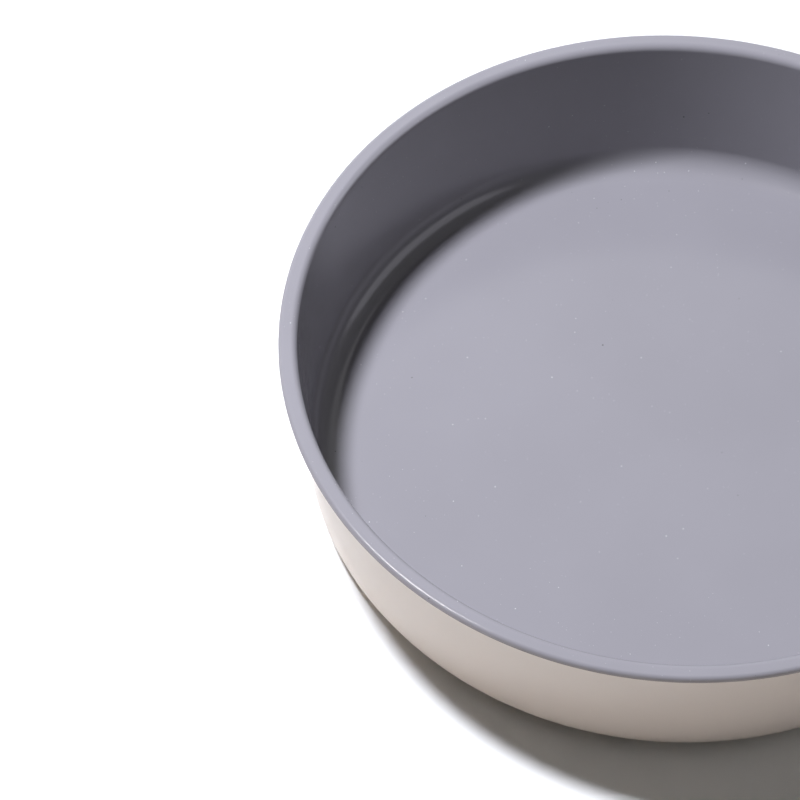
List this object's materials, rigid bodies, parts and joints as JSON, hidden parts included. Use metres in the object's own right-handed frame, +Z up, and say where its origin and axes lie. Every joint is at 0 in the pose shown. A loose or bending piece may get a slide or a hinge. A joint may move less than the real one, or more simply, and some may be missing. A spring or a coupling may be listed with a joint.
{
  "type": "round cake pan",
  "caption": "Round one-piece cake pan with a leaning wall, rounded floor corner and rolled, wired rim; grey non-stick inside, cream enamel outside.",
  "frame": {"origin": "centre of the base, on the face that rests on the table", "axes": "+Z up out of the mouth, along the pan's axis; X and Y are alike, because the pan is round"},
  "size_m": [0.24, 0.24, 0.054],
  "materials": {
    "steel": "bare pressed sheet, only seen inside the roll",
    "wire": "drawn wire, hidden inside the roll",
    "nonstick": "semi-gloss sprayed ceramic with fine pale flecks",
    "enamel": "satin cream enamel"
  },
  "bodies": {
    "root": {"pan_shell": "steel", "rim_wire": "wire", "inner_coating": "nonstick", "outer_coating": "enamel"}
  },
  "joints": []
}
